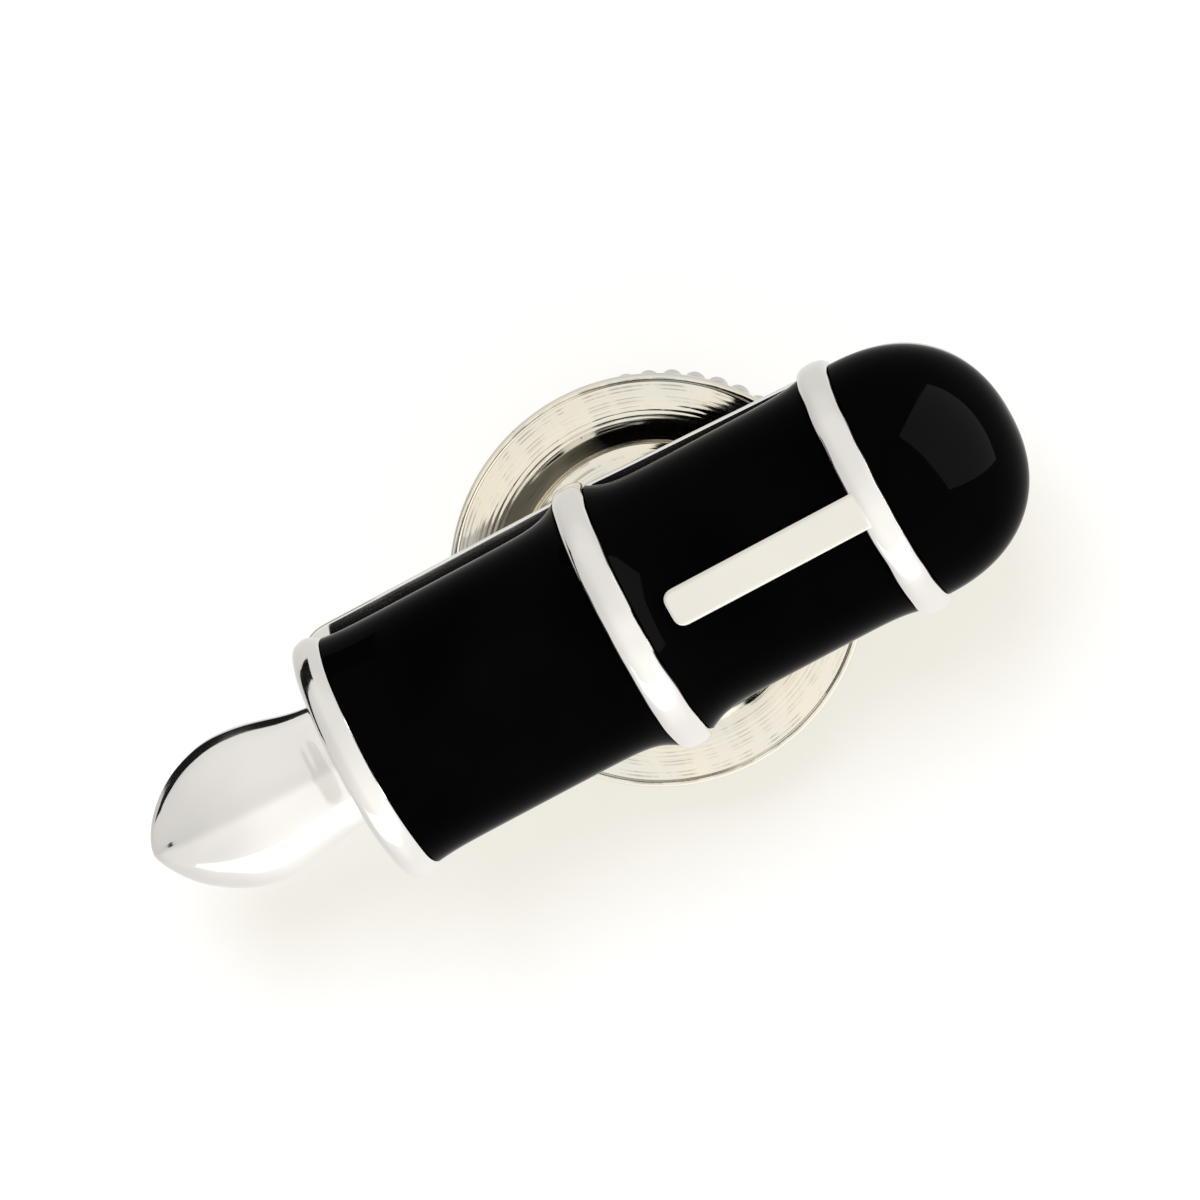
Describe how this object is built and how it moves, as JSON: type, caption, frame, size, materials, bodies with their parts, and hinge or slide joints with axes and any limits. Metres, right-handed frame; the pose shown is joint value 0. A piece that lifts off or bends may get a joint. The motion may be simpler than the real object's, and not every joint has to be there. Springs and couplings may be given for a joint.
{
  "type": "tie tack",
  "caption": "Tie tack shaped as a plump fountain pen: black enamel barrel, plated nib, rings and clip, with a needle post and a round spring-loaded ball-lock clutch.",
  "frame": {"origin": "centre of the pull knob's flat rear face, on the post's axis; the tack can stand on this face", "axes": "+Z is the post's axis, out of the pen's decorated face; +X runs along the pen from nib to cap; +Y is across the pen"},
  "size_m": [0.0238, 0.0104, 0.0141],
  "materials": {
    "plated_body": "mirror-polished white metal plating, very slightly warm",
    "plated_back": "mirror-polished white metal plating, very slightly warm",
    "plated_nib": "mirror-polished white metal plating, very slightly warm",
    "plated_collar": "mirror-polished white metal plating, very slightly warm",
    "plated_middle_ring": "mirror-polished white metal plating, very slightly warm",
    "plated_cap_ring": "mirror-polished white metal plating, very slightly warm",
    "plated_clip": "mirror-polished white metal plating, very slightly warm",
    "barrel_enamel": "deep black glossy enamel, smooth and slightly raised at its edges",
    "cap_enamel": "deep black glossy enamel, smooth and slightly raised at its edges",
    "crown_enamel": "deep black glossy enamel, smooth and slightly raised at its edges",
    "post_pad": "plated, soldered to the back",
    "needle_post": "drawn steel wire, ground to a point",
    "flange_disc": "bright nickel with fine turned rings, light wear marks",
    "cone_housing": "bright nickel, drawn",
    "closing_washer": "bright nickel",
    "spring_seat": "plain steel washer",
    "return_spring": "spring steel wire",
    "ball_cage": "turned brass, unplated inside the clutch",
    "pull_knob": "bright nickel with a beaded edge",
    "lock_ball": "polished hardened steel"
  },
  "bodies": {
    "pen": {"body_casting": "plated_body", "back_plate": "plated_back", "nib": "plated_nib", "nib_collar": "plated_collar", "middle_ring": "plated_middle_ring", "cap_ring": "plated_cap_ring", "pocket_clip": "plated_clip", "barrel_enamel": "barrel_enamel", "cap_enamel": "cap_enamel", "crown_enamel": "crown_enamel", "post_pad": "post_pad", "needle_post": "needle_post"},
    "housing": {"flange_disc": "flange_disc", "cone_housing": "cone_housing", "closing_washer": "closing_washer"},
    "spring_pack": {"spring_seat": "spring_seat", "return_spring": "return_spring"},
    "knob": {"pull_knob": "pull_knob", "ball_cage": "ball_cage"},
    "ball_1": {"lock_ball_1": "lock_ball"},
    "ball_2": {"lock_ball_2": "lock_ball"},
    "ball_3": {"lock_ball_3": "lock_ball"}
  },
  "joints": [
    {"name": "clutch_slide", "type": "slide", "parent": "pen", "child": "housing", "axis": [0, 0, -1], "range_m": [0, 0.01]},
    {"name": "knob_spin", "type": "hinge", "parent": "housing", "child": "spring_pack", "pos_m": [0, 0, 0.0017], "axis": [0, 0, 1], "continuous": true},
    {"name": "release_pull", "type": "slide", "parent": "spring_pack", "child": "knob", "axis": [0, 0, -1], "range_m": [0, 0.0008], "stiffness_N_per_m": 200, "deforming": ["return_spring"]},
    {"name": "ball_1_out", "type": "slide", "parent": "knob", "child": "ball_1", "axis": [1, 0, 0], "range_m": [0, 0.00021436]},
    {"name": "ball_2_out", "type": "slide", "parent": "knob", "child": "ball_2", "axis": [-0.5, 0.866, 0], "range_m": [0, 0.00021436]},
    {"name": "ball_3_out", "type": "slide", "parent": "knob", "child": "ball_3", "axis": [-0.5, -0.866, 0], "range_m": [0, 0.00021436]}
  ],
  "couplings": [
    {"joint": "ball_1_out", "follows": "release_pull", "ratio": 0.26795},
    {"joint": "ball_2_out", "follows": "release_pull", "ratio": 0.26795},
    {"joint": "ball_3_out", "follows": "release_pull", "ratio": 0.26795}
  ]
}
